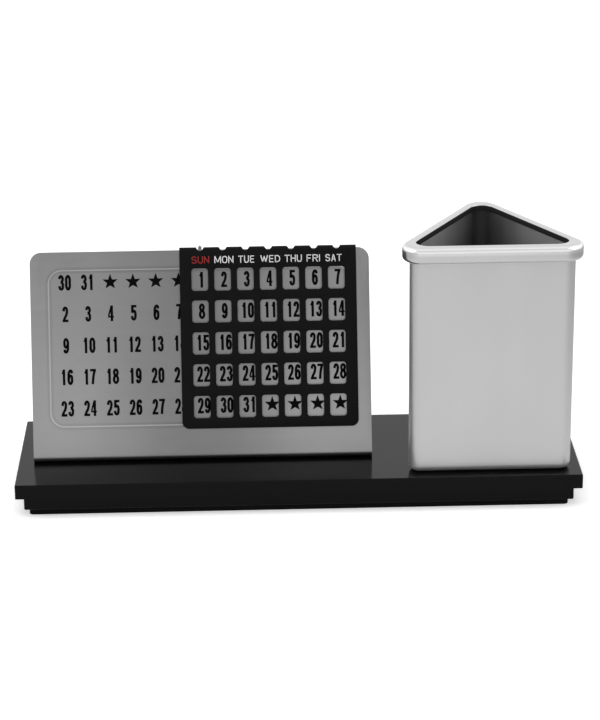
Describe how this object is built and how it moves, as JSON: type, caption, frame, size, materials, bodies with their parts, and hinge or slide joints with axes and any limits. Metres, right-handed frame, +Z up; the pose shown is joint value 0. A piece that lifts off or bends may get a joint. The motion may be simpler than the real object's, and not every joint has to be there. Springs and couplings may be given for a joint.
{
  "type": "desk calendar with pen cup",
  "caption": "Perpetual desk calendar: a leaning steel plate of day numbers with a sliding window frame over its top edge, beside a triangular pen cup on a stepped black base.",
  "frame": {"origin": "on the desk, under the middle of the base", "axes": "+X along the base towards the pen cup, +Y from the front to the back, +Z up"},
  "size_m": [0.246, 0.075, 0.1192],
  "materials": {
    "black_board": "black lacquer, satin",
    "pad_foam": "matte",
    "brushed_plate": "brushed",
    "black_coat": "satin black coating",
    "satin_cup": "satin",
    "polished_trim": "polished",
    "screw_steel": "zinc plated"
  },
  "bodies": {
    "stand": {"base_board": "black_board", "base_plinth": "black_board", "base_pad": "pad_foam", "calendar_plate": "brushed_plate", "pen_cup": "satin_cup", "cup_rim": "polished_trim", "plate_screws": "screw_steel", "cup_screw": "screw_steel", "cup_washer": "screw_steel", "plinth_screws": "screw_steel"},
    "slider": {"date_slider": "black_coat"}
  },
  "joints": [
    {"name": "slider_shift", "type": "slide", "parent": "stand", "child": "slider", "axis": [1, 0, 0], "range_m": [-0.06, 0]}
  ]
}
